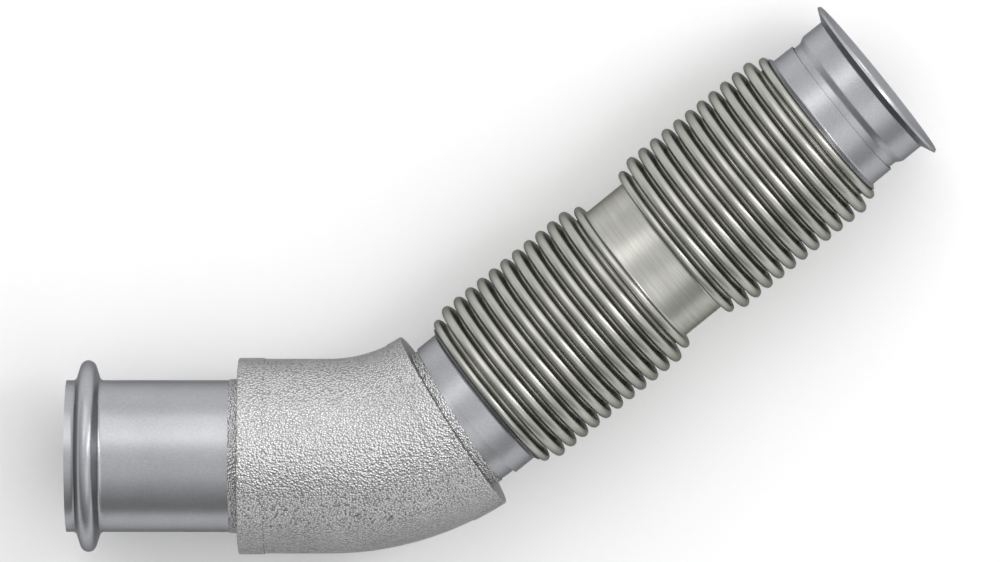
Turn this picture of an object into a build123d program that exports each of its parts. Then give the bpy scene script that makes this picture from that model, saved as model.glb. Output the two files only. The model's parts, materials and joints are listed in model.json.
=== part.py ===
from build123d import *
import os
from math import cos, degrees, radians, sin, tan

# Exhaust flex pipe: insulated elbow, bellows section and flanged outlet adapter.
# Millimetres. The origin is the centre of the inlet mouth, +X runs into the pipe,
# the elbow bends toward +Y and +Z is up when the pipe lies on the floor.

# Elbow pipe
tube_outside_radius = 50.8
tube_wall = 1.5
bead_centre = 14.65
bead_base_width = 16.6
bead_height = 13.35
bead_flank_angle = 72.0
bead_root_bend = 3.0
straight_length = 176.0
bend_radius = 152.4
bend_angle = 39.0
outlet_stub_length = 8.0

# Fibre lining and foil over the elbow: end caps with a collar and a rim, two half shells
insulation_thickness = 13.15
foil = 0.5
collar_clearance = 0.25
cap_face_position = 115.3
collar_length = 6.1
rim_length = 17.4
cap_corner_bend = 1.2
cap_collar_bend = 0.4
jacket_end_angle = 32.6
outlet_collar_length = 5.5
seam_lap = 7.0
fit_gap = 0.05
fibre_gap = 0.1

# Bellows, measured along the outlet axis from the point where the two axes meet
bellows_sheet = 0.5
skirt_gap = 0.1
bellows_step = 1.4
loop_height = 10.6
loop_width = 6.8
loop_pitch = 10.05
loops_per_stretch = 11
end_loop_height = 7.0
end_loop_width = 5.6
first_loop_position = 80.4
middle_length = 58.4
skirt_root_bend = 1.2
middle_root_bend = 2.0

# Cuffs over the bellows' skirts
cuff_gap = 0.1
cuff_wall = 1.2
cuff_length = 15.2
cuff_to_loop = 31.5
lip_height = 3.3
lip_lean = 2.0
lip_root_bend = 1.5
skirt_inset = 1.5

# Strip wound liner
liner_depth = 3.2
liner_strip = 0.8
winding_pitch = 8.0
liner_end_gap = 0.3

# Outlet adapter
adapter_sheet = 2.0
spigot_length = 16.8
ogee_length = 7.4
ogee_corner_share = 0.2
ogee_height = 2.4
ogee_bend = 2.6
cylinder_length = 14.3
flange_height = 9.1
flange_lean = 4.2
flange_root_bend = 0.8

# Places and radii that follow from the sizes above
bend_tangent = bend_radius * tan(radians(bend_angle / 2))
axes_meet = straight_length + bend_tangent
stub_end = bend_tangent + outlet_stub_length
bend_axis = Axis((straight_length, bend_radius, 0), (0, 0, 1))
outlet_frame = Pos(axes_meet, 0, 0) * Rot(0, 0, bend_angle)
insulation_inside_radius = tube_outside_radius + fibre_gap
insulation_outside_radius = insulation_inside_radius + insulation_thickness
lap_inside_radius = insulation_outside_radius + fibre_gap
shell_inside_radius = lap_inside_radius + foil + fit_gap
shell_outside_radius = shell_inside_radius + foil
rim_outside_radius = shell_outside_radius + fit_gap + foil
collar_outside_radius = tube_outside_radius + collar_clearance + foil
skirt_outside_radius = tube_outside_radius + skirt_gap + bellows_sheet
bellows_tube_radius = skirt_outside_radius + bellows_step
cuff_outside_radius = skirt_outside_radius + cuff_gap + cuff_wall
adapter_radius = tube_outside_radius + ogee_height
stretch_length = (loops_per_stretch - 1) * loop_pitch
second_loop_position = first_loop_position + stretch_length + middle_length
last_loop_position = second_loop_position + stretch_length
cuff_start = first_loop_position - cuff_to_loop
cuff_end = last_loop_position + cuff_to_loop
spigot_start = cuff_end - (stub_end - cuff_start)


def rounded_line(corners):
    """Edges of a line through corners given as along, out and bend radius."""
    points = [Vector(along, out) for along, out, bend in corners]
    edges = []
    reached = points[0]
    for index in range(1, len(corners) - 1):
        point = points[index]
        bend = corners[index][2]
        way_in = (point - points[index - 1]).normalized()
        way_out = (points[index + 1] - point).normalized()
        half_turn = radians(way_in.get_angle(way_out)) / 2
        inward = (way_out - way_in).normalized()
        first = point - way_in * (bend * tan(half_turn))
        last = point + way_out * (bend * tan(half_turn))
        middle = point + inward * (bend / cos(half_turn) - bend)
        if (first - reached).length > 1e-6:
            edges.append(Line(reached, first))
        if bend > 0:
            edges.append(ThreePointArc(first, middle, last))
        reached = last
    edges.append(Line(reached, points[-1]))
    return edges


def sunk_corners(corners, depth):
    """The corners moved to the right of the line, with bends that stay parallel."""
    points = [Vector(along, out) for along, out, bend in corners]
    ways = [(after - before).normalized() for before, after in zip(points, points[1:])]
    ways = [ways[0], *ways, ways[-1]]
    moved = []
    for index, point in enumerate(points):
        way_in = ways[index]
        way_out = ways[index + 1]
        middle_way = (way_in + way_out).normalized()
        shift = depth / middle_way.dot(way_in)
        turns_left = way_in.cross(way_out).Z > 0
        bend = corners[index][2]
        if bend > 0:
            bend = bend + depth if turns_left else max(bend - depth, 0)
        moved.append((point.X + middle_way.Y * shift, point.Y - middle_way.X * shift, bend))
    return moved


def formed_ring(corners, sheet):
    """Round piece of bent sheet whose outer surface runs through the corners."""
    outer = rounded_line(corners)
    inner = rounded_line(sunk_corners(corners, sheet))
    first_end = Line(outer[0] @ 0, inner[0] @ 0)
    last_end = Line(outer[-1] @ 1, inner[-1] @ 1)
    return revolve(make_face(outer + inner + [first_end, last_end]), axis=Axis.X)


def ring_part(outside, inside, first_angle, last_angle):
    """Flat ring section from one angle to another, angles counted from +Y to +Z."""
    arc = last_angle - first_angle
    outer = CenterArc((0, 0), outside, first_angle, arc)
    inner = CenterArc((0, 0), inside, first_angle, arc)
    return make_face([outer, inner, Line(outer @ 0, inner @ 0), Line(outer @ 1, inner @ 1)])


def section_at(angle):
    """Plane across the pipe at an angle of the bend, facing the outlet."""
    turn = radians(angle)
    place = (straight_length + bend_radius * sin(turn), bend_radius * (1 - cos(turn)), 0)
    return Plane(origin=place, x_dir=(-sin(turn), cos(turn), 0), z_dir=(cos(turn), sin(turn), 0))


def bend_part(section, first_angle, last_angle):
    """The section carried round the bend from one angle to another."""
    placed = section_at(first_angle) * section
    return revolve(placed, axis=bend_axis, revolution_arc=last_angle - first_angle)


def jacket(section):
    """The section carried from the inlet cap round the bend to the outlet cap."""
    start = cap_face_position + cap_corner_bend + fit_gap
    room = degrees(fit_gap / (bend_radius - shell_outside_radius))
    start_plane = section_at(0).offset(start - straight_length)
    straight = extrude(start_plane * section, straight_length - start)
    return straight + bend_part(section, 0, jacket_end_angle - room)


def elbow_pipe():
    """Bent tube with a rolled bead behind a short nose at the inlet."""
    flank = radians(bead_flank_angle)
    half_base = bead_base_width / 2
    flanks_meet = tube_outside_radius + half_base * tan(flank)
    over_crown = flanks_meet - tube_outside_radius - bead_height
    crown_bend = over_crown * cos(flank) / (1 - cos(flank))
    inlet = formed_ring(
        [
            (0, tube_outside_radius, 0),
            (bead_centre - half_base, tube_outside_radius, bead_root_bend),
            (bead_centre, flanks_meet, crown_bend),
            (bead_centre + half_base, tube_outside_radius, bead_root_bend),
            (straight_length, tube_outside_radius, 0),
        ],
        tube_wall,
    )
    ring = Circle(tube_outside_radius) - Circle(tube_outside_radius - tube_wall)
    stub = extrude(section_at(bend_angle) * ring, outlet_stub_length)
    return inlet + bend_part(ring, 0, bend_angle) + stub


def insulation_half(first_angle):
    """Half of the fibre lining between the tube and the foil."""
    last_angle = first_angle + 180
    return jacket(ring_part(insulation_outside_radius, insulation_inside_radius, first_angle, last_angle))


def shell_half(first_angle, lapped):
    """Half of the foil jacket; the lapped one has a strip under each seam."""
    inside = shell_inside_radius
    seam_room = degrees(fit_gap / 2 / inside)
    first = first_angle + seam_room
    last = first_angle + 180 - seam_room
    half = jacket(ring_part(shell_outside_radius, inside, first, last))
    if lapped:
        lap = degrees(seam_lap / inside)
        for seam, side in ((first, 1), (last, -1)):
            half += jacket(ring_part(inside, lap_inside_radius, seam, seam + side * lap))
            half += jacket(ring_part(inside - fit_gap, lap_inside_radius, seam, seam - side * lap))
    return half


def end_cap_inlet():
    """Foil cap: collar on the tube, flat face, rim over the half shells."""
    return formed_ring(
        [
            (cap_face_position - collar_length, collar_outside_radius, 0),
            (cap_face_position, collar_outside_radius, cap_collar_bend),
            (cap_face_position, rim_outside_radius, cap_corner_bend),
            (cap_face_position + rim_length, rim_outside_radius, 0),
        ],
        foil,
    )


def end_cap_outlet():
    """The same cap at the other end, its rim bent with the elbow."""
    face = formed_ring(
        [
            (0, rim_outside_radius, 0),
            (cap_corner_bend, rim_outside_radius, cap_corner_bend),
            (cap_corner_bend, collar_outside_radius, cap_collar_bend),
            (cap_corner_bend + outlet_collar_length, collar_outside_radius, 0),
        ],
        foil,
    )
    along = section_at(jacket_end_angle)
    place = Plane(origin=along.origin, x_dir=along.z_dir, z_dir=(0, 0, 1))
    rim_angle = jacket_end_angle - degrees((rim_length - cap_corner_bend) / bend_radius)
    rim = Circle(rim_outside_radius) - Circle(rim_outside_radius - foil)
    return place * face + bend_part(rim, rim_angle, jacket_end_angle)


def cuff():
    """Sleeve with a flared lip that leans toward the bellows."""
    lip_start = cuff_start + cuff_length
    return formed_ring(
        [
            (cuff_start, cuff_outside_radius, 0),
            (lip_start, cuff_outside_radius, lip_root_bend),
            (lip_start + lip_lean, cuff_outside_radius + lip_height, 0),
        ],
        cuff_wall,
    )


def mirrored(solid):
    """The solid turned round, end for end, about the middle of the bellows."""
    return mirror(solid, about=Plane.YZ.offset((cuff_start + cuff_end) / 2))


def loop_corners(position, width, height, bend_before, bend_after, radius_before, radius_after):
    """Corners of one outward loop between the radii on its two sides."""
    before = position - width / 2
    after = position + width / 2
    peak_radius = bellows_tube_radius + height
    return [
        (before, radius_before, bend_before),
        (before, peak_radius, width / 2),
        (after, peak_radius, width / 2),
        (after, radius_after, bend_after),
    ]


def bellows():
    """Thin tube with a skirt at each end and two stretches of formed loops."""
    tube = bellows_tube_radius
    root_bend = (loop_pitch - loop_width) / 2
    neighbour_bend = (loop_pitch - (loop_width + end_loop_width) / 2) / 2
    corners = [(cuff_start + skirt_inset, skirt_outside_radius, 0)]
    for first_position in (first_loop_position, second_loop_position):
        is_first = first_position == first_loop_position
        before_radius = skirt_outside_radius if is_first else tube
        after_radius = tube if is_first else skirt_outside_radius
        before_bend = skirt_root_bend if is_first else middle_root_bend
        after_bend = middle_root_bend if is_first else skirt_root_bend
        corners += loop_corners(
            first_position - loop_pitch, end_loop_width, end_loop_height,
            before_bend, neighbour_bend, before_radius, tube,
        )
        for index in range(loops_per_stretch):
            bend_before = neighbour_bend if index == 0 else root_bend
            bend_after = neighbour_bend if index == loops_per_stretch - 1 else root_bend
            corners += loop_corners(
                first_position + index * loop_pitch, loop_width, loop_height,
                bend_before, bend_after, tube, tube,
            )
        corners += loop_corners(
            first_position + stretch_length + loop_pitch, end_loop_width, end_loop_height,
            neighbour_bend, after_bend, tube, after_radius,
        )
    corners.append((cuff_end - skirt_inset, skirt_outside_radius, 0))
    return formed_ring(corners, bellows_sheet)


def liner():
    """Hose of interlocked windings between the tube's end and the adapter."""
    start = stub_end + liner_end_gap
    length = spigot_start - liner_end_gap - start
    windings = round(length / winding_pitch)
    pitch = length / (windings + 0.5)
    crest_radius = tube_outside_radius
    valley_radius = crest_radius - liner_depth
    corners = [(start, crest_radius, 0)]
    for index in range(windings):
        crest_end = start + (index + 0.5) * pitch
        crest_start = start + (index + 1) * pitch
        corners += [
            (crest_end, crest_radius, 0),
            (crest_end, valley_radius, 0),
            (crest_start, valley_radius, 0),
            (crest_start, crest_radius, 0),
        ]
    corners.append((start + length, crest_radius, 0))
    return formed_ring(corners, liner_strip)


def outlet_adapter():
    """Spun ring: spigot, ogee step, cylinder and conical clamp flange."""
    ogee_start = spigot_start + spigot_length
    cylinder_start = ogee_start + ogee_length
    flange_start = cylinder_start + cylinder_length
    corner_inset = ogee_length * ogee_corner_share
    return formed_ring(
        [
            (spigot_start, tube_outside_radius, 0),
            (ogee_start + corner_inset, tube_outside_radius, ogee_bend),
            (cylinder_start - corner_inset, adapter_radius, ogee_bend),
            (flange_start, adapter_radius, flange_root_bend),
            (flange_start + flange_lean, adapter_radius + flange_height, 0),
        ],
        adapter_sheet,
    )


pieces = {
    "elbow_pipe": elbow_pipe(),
    "insulation_upper": insulation_half(0),
    "insulation_lower": insulation_half(180),
    "shell_upper": shell_half(0, False),
    "shell_lower": shell_half(180, True),
    "end_cap_inlet": end_cap_inlet(),
    "end_cap_outlet": end_cap_outlet(),
    "cuff_inlet": outlet_frame * cuff(),
    "bellows": outlet_frame * bellows(),
    "liner": outlet_frame * liner(),
    "cuff_outlet": outlet_frame * mirrored(cuff()),
    "outlet_adapter": outlet_frame * outlet_adapter(),
}

os.makedirs("parts", exist_ok=True)
for name, piece in pieces.items():
    piece.label = name
    export_step(piece, "parts/" + name + ".step")
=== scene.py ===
import json
from math import cos, pi, radians, sin, tan

import bpy
from mathutils import Matrix, Vector


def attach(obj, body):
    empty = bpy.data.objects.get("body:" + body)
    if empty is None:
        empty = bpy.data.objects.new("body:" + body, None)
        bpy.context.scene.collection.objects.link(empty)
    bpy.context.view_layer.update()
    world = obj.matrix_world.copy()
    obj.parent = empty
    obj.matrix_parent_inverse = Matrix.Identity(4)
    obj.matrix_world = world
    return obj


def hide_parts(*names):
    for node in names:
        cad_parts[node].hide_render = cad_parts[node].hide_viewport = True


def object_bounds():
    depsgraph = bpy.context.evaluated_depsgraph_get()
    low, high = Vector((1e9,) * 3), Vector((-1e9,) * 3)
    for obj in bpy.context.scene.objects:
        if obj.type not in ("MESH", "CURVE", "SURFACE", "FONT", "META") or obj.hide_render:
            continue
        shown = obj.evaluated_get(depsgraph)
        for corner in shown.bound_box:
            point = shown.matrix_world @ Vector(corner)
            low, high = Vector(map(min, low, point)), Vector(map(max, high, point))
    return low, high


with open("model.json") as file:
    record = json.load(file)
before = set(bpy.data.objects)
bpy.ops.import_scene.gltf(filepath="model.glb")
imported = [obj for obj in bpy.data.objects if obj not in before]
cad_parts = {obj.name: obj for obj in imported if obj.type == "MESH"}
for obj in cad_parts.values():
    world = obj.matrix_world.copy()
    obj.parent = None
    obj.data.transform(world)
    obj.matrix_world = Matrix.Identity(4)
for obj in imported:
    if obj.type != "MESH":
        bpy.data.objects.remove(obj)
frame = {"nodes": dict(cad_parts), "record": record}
cad_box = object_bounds()

# Lengths and places are in metres, in the row frame, unless a comment says otherwise.

# Camera: directions of the picture's right side and top, and the point at its middle
PICTURE_RIGHT = Vector((0.99977137, -0.00152603, -0.02132766))
PICTURE_UP = Vector((-0.0002902, 0.99638966, -0.08489738))
PICTURE_MIDDLE = Vector((0.289928, 0.116279, -0.016131))
CAMERA_DISTANCE = 12.0
VIEW_WIDTH = 0.669373
SENSOR_WIDTH = 36.0  # millimetres
FAR_CLIP = 100.0

# Pipe's centre line
STRAIGHT_LENGTH = 0.176
BEND_RADIUS = 0.1524
BEND_ANGLE = radians(39)
AXES_MEET = Vector((STRAIGHT_LENGTH + BEND_RADIUS * tan(BEND_ANGLE / 2), 0, 0))

# Bellows, with places counted along the outlet axis from the point where the two axes meet
SHEET = 0.0005
SKIRT_START = 0.0504
SKIRT_END = 0.3698
SKIRT_RADIUS = 0.0514
BELLOWS_RADIUS = 0.0528
FIRST_LOOP = 0.0804
LOOPS = 11
LOOP_PITCH = 0.01005
LOOP_HEIGHT = 0.0106
LOOP_WIDTH = 0.0068
END_LOOP_HEIGHT = 0.007
END_LOOP_WIDTH = 0.0056
SKIRT_ROOT_BEND = 0.0012
MIDDLE_ROOT_BEND = 0.002
BEND_STEPS = 6
SEGMENTS = 72
SHARP_EDGE = radians(60)
SAME_PLACE = 1e-6

# Materials: white, and the drawn lines' scale along themselves as a part of that across
WHITE = (1, 1, 1)
LINE_STRETCH = 0.02

# Studio: floor, lamps, and the glow of the surroundings
FLOOR_HALF = 6.0
LAMP_TARGET = Vector((0.29, 0.12, 0.0))
LAMPS = [
    # name, place, width, height, watts
    ("key", (0.4, 1.75, 1.5), 2.2, 1.8, 8.5),
    ("left", (-0.53, 1.14, 2.01), 1.0, 1.0, 3),
    ("fill", (1.1, -0.88, 1.78), 1.5, 1.5, 3.5),
    ("rim", (2.04, 0.75, 1.2), 0.4, 2.4, 14),
]
GLOW_SIDE = (0.35, 0.75, 0.55)
GLOW_RANGE = (-0.95, 0.75)
GLOW_STRENGTH = (0.15, 1.0)


def new_material(name, metallic, edge_tint):
    """A node material, its tree and its shader; the tint dulls a metal's grazing edges."""
    material = bpy.data.materials.new(name)
    material.use_nodes = True
    tree = material.node_tree
    shader = tree.nodes["Principled BSDF"]
    shader.inputs["Metallic"].default_value = metallic
    shader.inputs["Specular Tint"].default_value = (*edge_tint, 1)
    return material, tree, shader


def noise(tree, scale, detail, roughness, place=None):
    """Noise over the place, or else over the row frame; the scale is in cycles per metre."""
    if place is None:
        place = tree.nodes.new("ShaderNodeTexCoord").outputs["Object"]
    texture = tree.nodes.new("ShaderNodeTexNoise")
    texture.inputs["Scale"].default_value = scale
    texture.inputs["Detail"].default_value = detail
    texture.inputs["Roughness"].default_value = roughness
    tree.links.new(place, texture.inputs["Vector"])
    return texture.outputs["Fac"]


def cells(tree, scale, softness):
    """Rounded cells over the row frame: low in their middles, high where they meet."""
    place = tree.nodes.new("ShaderNodeTexCoord")
    texture = tree.nodes.new("ShaderNodeTexVoronoi")
    texture.feature = "SMOOTH_F1"
    texture.inputs["Scale"].default_value = scale
    texture.inputs["Smoothness"].default_value = softness
    tree.links.new(place.outputs["Object"], texture.inputs["Vector"])
    return texture.outputs["Distance"]


def spread(tree, value, low, high, from_low=0.3, from_high=0.7):
    """The value stretched from its usual range to the wanted one."""
    ranged = tree.nodes.new("ShaderNodeMapRange")
    ranged.inputs["From Min"].default_value = from_low
    ranged.inputs["From Max"].default_value = from_high
    ranged.inputs["To Min"].default_value = low
    ranged.inputs["To Max"].default_value = high
    tree.links.new(value, ranged.inputs["Value"])
    return ranged.outputs["Result"]


def two_tone(tree, value, dark, light):
    """A colour that goes from dark where the value is 0 to light where it is 1."""
    mix = tree.nodes.new("ShaderNodeMix")
    mix.data_type = "RGBA"
    mix.inputs["A"].default_value = (*dark, 1)
    mix.inputs["B"].default_value = (*light, 1)
    tree.links.new(value, mix.inputs["Factor"])
    return mix.outputs["Result"]


def multiplied(tree, colour, other):
    """Two colours multiplied."""
    mix = tree.nodes.new("ShaderNodeMix")
    mix.data_type = "RGBA"
    mix.blend_type = "MULTIPLY"
    mix.inputs["Factor"].default_value = 1.0
    tree.links.new(colour, mix.inputs["A"])
    tree.links.new(other, mix.inputs["B"])
    return mix.outputs["Result"]


def relief(tree, shader, value, depth, strength):
    """Bumps of a depth in metres on the shader's normal."""
    bump = tree.nodes.new("ShaderNodeBump")
    bump.inputs["Distance"].default_value = depth
    bump.inputs["Strength"].default_value = strength
    tree.links.new(value, bump.inputs["Height"])
    tree.links.new(bump.outputs["Normal"], shader.inputs["Normal"])


def drawn_lines(tree, scale, roughness):
    """Fine lines that run round the outlet axis."""
    place = tree.nodes.new("ShaderNodeTexCoord")
    turn = tree.nodes.new("ShaderNodeMapping")
    turn.inputs["Rotation"].default_value = (0, 0, -BEND_ANGLE)
    tree.links.new(place.outputs["Object"], turn.inputs["Vector"])
    squeeze = tree.nodes.new("ShaderNodeMapping")
    squeeze.inputs["Scale"].default_value = (1, LINE_STRETCH, LINE_STRETCH)
    tree.links.new(turn.outputs["Vector"], squeeze.inputs["Vector"])
    return noise(tree, scale, detail=3, roughness=roughness, place=squeeze.outputs["Vector"])


def tube_steel():
    """Satin stainless tube: cool grey with a fine grain and faint cloudy patches."""
    material, tree, shader = new_material("tube_steel", metallic=1.0, edge_tint=(0.3, 0.3, 0.3))
    clouds = spread(tree, noise(tree, scale=22, detail=4, roughness=0.6), low=0, high=1)
    specks = spread(tree, noise(tree, scale=900, detail=2, roughness=0.6), low=0, high=1)
    grain = noise(tree, scale=1800, detail=2, roughness=0.6)
    tone = two_tone(tree, clouds, dark=(0.405, 0.41, 0.43), light=(0.455, 0.46, 0.48))
    speckle = two_tone(tree, specks, dark=(0.84, 0.84, 0.84), light=WHITE)
    tree.links.new(multiplied(tree, tone, speckle), shader.inputs["Base Color"])
    tree.links.new(spread(tree, grain, low=0.3, high=0.36), shader.inputs["Roughness"])
    relief(tree, shader, grain, depth=0.00004, strength=0.4)
    return material


def bellows_steel():
    """Formed sheet with a warm tint and fine drawing lines round it."""
    tint = (0.25, 0.25, 0.24)
    material, tree, shader = new_material("bellows_steel", metallic=1.0, edge_tint=tint)
    clouds = spread(tree, noise(tree, scale=40, detail=4, roughness=0.6), low=0, high=1)
    lines = drawn_lines(tree, scale=1100, roughness=0.65)
    tone = two_tone(tree, clouds, dark=(0.44, 0.442, 0.414), light=(0.51, 0.512, 0.484))
    lightness = spread(tree, lines, low=0, high=1, from_low=0.35, from_high=0.65)
    streak = two_tone(tree, lightness, dark=(0.82, 0.81, 0.78), light=WHITE)
    tree.links.new(multiplied(tree, tone, streak), shader.inputs["Base Color"])
    tree.links.new(spread(tree, lines, low=0.36, high=0.28), shader.inputs["Roughness"])
    relief(tree, shader, lines, depth=0.00002, strength=0.5)
    return material


def embossed_foil():
    """Thin bright foil with a fine pebbled emboss, and painted shade that darkens its colour where
    the cells meet, low in the relief.
    """
    material, tree, shader = new_material("embossed_foil", metallic=1.0, edge_tint=(0.3, 0.3, 0.3))
    pebbles = cells(tree, scale=680, softness=0.12)
    clouds = noise(tree, scale=35, detail=3, roughness=0.6)
    patches = spread(tree, clouds, low=0, high=1)
    tone = two_tone(tree, patches, dark=(0.58, 0.58, 0.585), light=(0.64, 0.64, 0.645))
    # Painted shade: the colour drops to 0.6 where the emboss cells meet, in the low ground of the
    # bumps.
    lightness = spread(tree, pebbles, low=0, high=1, from_low=0.75, from_high=0.35)
    painted_hollow_shade = two_tone(tree, lightness, dark=(0.6, 0.6, 0.6), light=WHITE)
    tree.links.new(multiplied(tree, tone, painted_hollow_shade), shader.inputs["Base Color"])
    tree.links.new(spread(tree, clouds, low=0.2, high=0.25), shader.inputs["Roughness"])
    height = spread(tree, pebbles, low=0, high=1, from_low=0.8, from_high=0.1)
    relief(tree, shader, height, depth=0.0006, strength=1.0)
    return material


def liner_steel():
    """Dull strip steel inside the bellows."""
    material, tree, shader = new_material("liner_steel", metallic=1.0, edge_tint=WHITE)
    clouds = noise(tree, scale=60, detail=4, roughness=0.6)
    patches = spread(tree, clouds, low=0, high=1)
    tone = two_tone(tree, patches, dark=(0.36, 0.35, 0.33), light=(0.48, 0.47, 0.45))
    tree.links.new(tone, shader.inputs["Base Color"])
    tree.links.new(spread(tree, clouds, low=0.38, high=0.5), shader.inputs["Roughness"])
    lines = drawn_lines(tree, scale=1400, roughness=0.6)
    relief(tree, shader, lines, depth=0.00005, strength=0.5)
    return material


def fibre():
    """Needled fibre mat."""
    material, tree, shader = new_material("fibre", metallic=0.0, edge_tint=WHITE)
    clouds = spread(tree, noise(tree, scale=50, detail=3, roughness=0.5), low=0, high=1)
    threads = noise(tree, scale=700, detail=5, roughness=0.7)
    tone = two_tone(tree, clouds, dark=(0.62, 0.59, 0.52), light=(0.8, 0.77, 0.7))
    tree.links.new(tone, shader.inputs["Base Color"])
    shader.inputs["Roughness"].default_value = 0.95
    relief(tree, shader, threads, depth=0.0008, strength=0.8)
    return material


def floor_paper():
    """Matt white paper with a faint mottle."""
    material, tree, shader = new_material("floor_paper", metallic=0.0, edge_tint=WHITE)
    mottle = noise(tree, scale=300, detail=3, roughness=0.6)
    tone = two_tone(tree, mottle, dark=(0.94, 0.94, 0.94), light=(0.97, 0.97, 0.97))
    tree.links.new(tone, shader.inputs["Base Color"])
    shader.inputs["Roughness"].default_value = 0.95
    shader.inputs["Specular IOR Level"].default_value = 0.0
    return material


def bellows_corners():
    """Corners of the bellows' outer line: place along the axis, radius and bend."""
    root_bend = (LOOP_PITCH - LOOP_WIDTH) / 2
    end_root_bend = (LOOP_PITCH - (LOOP_WIDTH + END_LOOP_WIDTH) / 2) / 2
    loops = [(FIRST_LOOP - LOOP_PITCH, END_LOOP_WIDTH, END_LOOP_HEIGHT)]
    loops += [(FIRST_LOOP + index * LOOP_PITCH, LOOP_WIDTH, LOOP_HEIGHT) for index in range(LOOPS)]
    loops.append((FIRST_LOOP + LOOPS * LOOP_PITCH, END_LOOP_WIDTH, END_LOOP_HEIGHT))
    inner_bends = [end_root_bend] + [root_bend] * (LOOPS - 1) + [end_root_bend]
    bends = [SKIRT_ROOT_BEND, *inner_bends, MIDDLE_ROOT_BEND]
    radii = [SKIRT_RADIUS] + [BELLOWS_RADIUS] * len(loops)
    half = [(SKIRT_START, SKIRT_RADIUS, 0)]
    for index, (place, width, height) in enumerate(loops):
        before = place - width / 2
        after = place + width / 2
        peak = BELLOWS_RADIUS + height
        half += [
            (before, radii[index], bends[index]),
            (before, peak, width / 2),
            (after, peak, width / 2),
            (after, BELLOWS_RADIUS, bends[index + 1]),
        ]
    both_ends = SKIRT_START + SKIRT_END
    other_half = [(both_ends - along, out, bend) for along, out, bend in reversed(half)]
    return half + other_half


def sheet_lines(corners):
    """Points of the outer line with its bends rounded, and of the inner line under them."""
    places = [Vector((along, out)) for along, out, bend in corners]
    inward_end = Vector((0, -SHEET))
    outer = [places[0]]
    inner = [places[0] + inward_end]
    for index in range(1, len(places) - 1):
        bend = corners[index][2]
        way_in = (places[index] - places[index - 1]).normalized()
        way_out = (places[index + 1] - places[index]).normalized()
        middle_way = (way_in + way_out).normalized()
        to_centre = (way_out - way_in).normalized()
        half_turn = way_in.angle(way_out) / 2
        centre = places[index] + to_centre * (bend / cos(half_turn))
        turns_outward = way_in.cross(way_out) > 0
        inner_bend = bend + SHEET if turns_outward else bend - SHEET
        for step in range(BEND_STEPS + 1):
            turn = half_turn * (2 * step / BEND_STEPS - 1)
            way = middle_way * sin(turn) - to_centre * cos(turn)
            if (centre + way * bend - outer[-1]).length > SAME_PLACE:
                outer.append(centre + way * bend)
                inner.append(centre + way * inner_bend)
    outer.append(places[-1])
    inner.append(places[-1] + inward_end)
    return outer, inner


def bellows(finish):
    """The bellows as a closed thin sheet spun round the outlet axis."""
    outer, inner = sheet_lines(bellows_corners())
    section = outer + inner[::-1]
    along = Vector((cos(BEND_ANGLE), sin(BEND_ANGLE), 0))
    side = Vector((-sin(BEND_ANGLE), cos(BEND_ANGLE), 0))
    up = Vector((0, 0, 1))
    turns = [2 * pi * segment / SEGMENTS for segment in range(SEGMENTS)]
    ways = [side * cos(turn) + up * sin(turn) for turn in turns]
    points = [AXES_MEET + along * place.x + way * place.y for place in section for way in ways]
    faces = []
    for ring in range(len(section)):
        here = ring * SEGMENTS
        there = (ring + 1) % len(section) * SEGMENTS
        for segment in range(SEGMENTS):
            after = (segment + 1) % SEGMENTS
            faces.append((here + segment, here + after, there + after, there + segment))
    mesh = bpy.data.meshes.new("bellows_formed")
    mesh.from_pydata(points, [], faces)
    mesh.shade_smooth()
    mesh.set_sharp_from_angle(angle=SHARP_EDGE)
    mesh.materials.append(finish)
    piece = bpy.data.objects.new("bellows_formed", mesh)
    bpy.context.scene.collection.objects.link(piece)
    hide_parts("bellows")
    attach(piece, "root")


def floor():
    """Plain pale studio floor under the pipe."""
    low = cad_box[0][2]
    ends = ((-1, -1), (1, -1), (1, 1), (-1, 1))
    mesh = bpy.data.meshes.new("floor")
    mesh.from_pydata([(x * FLOOR_HALF, y * FLOOR_HALF, low) for x, y in ends], [], [(0, 1, 2, 3)])
    mesh.materials.append(floor_paper())
    plane = bpy.data.objects.new("floor", mesh)
    bpy.context.scene.collection.objects.link(plane)


def lamp(name, place, width, height, watts):
    """Soft lamp that faces the pipe."""
    light = bpy.data.lights.new(name, "AREA")
    light.shape = "RECTANGLE"
    light.size = width
    light.size_y = height
    light.energy = watts
    holder = bpy.data.objects.new(name, light)
    bpy.context.scene.collection.objects.link(holder)
    holder.location = place
    holder.rotation_euler = (LAMP_TARGET - Vector(place)).to_track_quat("-Z", "Y").to_euler()
    holder.visible_camera = False


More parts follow.
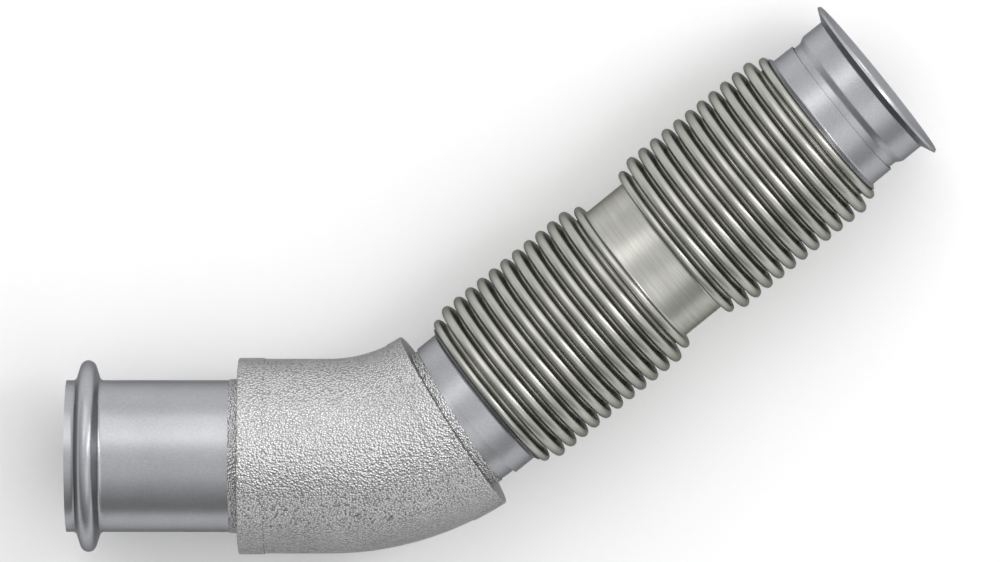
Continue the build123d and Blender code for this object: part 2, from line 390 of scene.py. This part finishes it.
def surroundings():
    """White room that is brighter toward one side."""
    world = bpy.data.worlds.new("studio")
    bpy.context.scene.world = world
    world.use_nodes = True
    tree = world.node_tree
    background = tree.nodes["Background"]
    background.inputs["Color"].default_value = (*WHITE, 1)
    place = tree.nodes.new("ShaderNodeTexCoord")
    slope = tree.nodes.new("ShaderNodeVectorMath")
    slope.operation = "DOT_PRODUCT"
    slope.inputs[1].default_value = GLOW_SIDE
    tree.links.new(place.outputs["Generated"], slope.inputs[0])
    ranged = tree.nodes.new("ShaderNodeMapRange")
    ranged.interpolation_type = "SMOOTHSTEP"
    ranged.inputs["From Min"].default_value = GLOW_RANGE[0]
    ranged.inputs["From Max"].default_value = GLOW_RANGE[1]
    ranged.inputs["To Min"].default_value = GLOW_STRENGTH[0]
    ranged.inputs["To Max"].default_value = GLOW_STRENGTH[1]
    tree.links.new(slope.outputs["Value"], ranged.inputs["Value"])
    tree.links.new(ranged.outputs["Result"], background.inputs["Strength"])


def camera():
    """Long lens above the pipe, tipped a few degrees as in the photograph."""
    lens = bpy.data.cameras.new("camera")
    lens.sensor_width = SENSOR_WIDTH
    lens.lens = SENSOR_WIDTH * CAMERA_DISTANCE / VIEW_WIDTH
    lens.clip_end = FAR_CLIP
    holder = bpy.data.objects.new("camera", lens)
    bpy.context.scene.collection.objects.link(holder)
    toward = PICTURE_RIGHT.cross(PICTURE_UP).normalized()
    up = toward.cross(PICTURE_RIGHT).normalized()
    turn = Matrix((PICTURE_RIGHT.normalized(), up, toward)).transposed()
    shift = Matrix.Translation(PICTURE_MIDDLE + toward * CAMERA_DISTANCE)
    holder.matrix_world = shift @ turn.to_4x4()
    bpy.context.scene.camera = holder


finishes = {
    "tube_steel": tube_steel(),
    "bellows_steel": bellows_steel(),
    "embossed_foil": embossed_foil(),
    "liner_steel": liner_steel(),
    "fibre": fibre(),
}
for part in frame["record"]["subparts"]:
    materials = frame["nodes"][part["node"]].data.materials
    materials.clear()
    materials.append(finishes[part["material_slot"]])

bellows(finishes["bellows_steel"])
floor()
surroundings()
for name, place, width, height, watts in LAMPS:
    lamp(name, place, width, height, watts)
camera()
bpy.context.scene.view_settings.view_transform = "Standard"
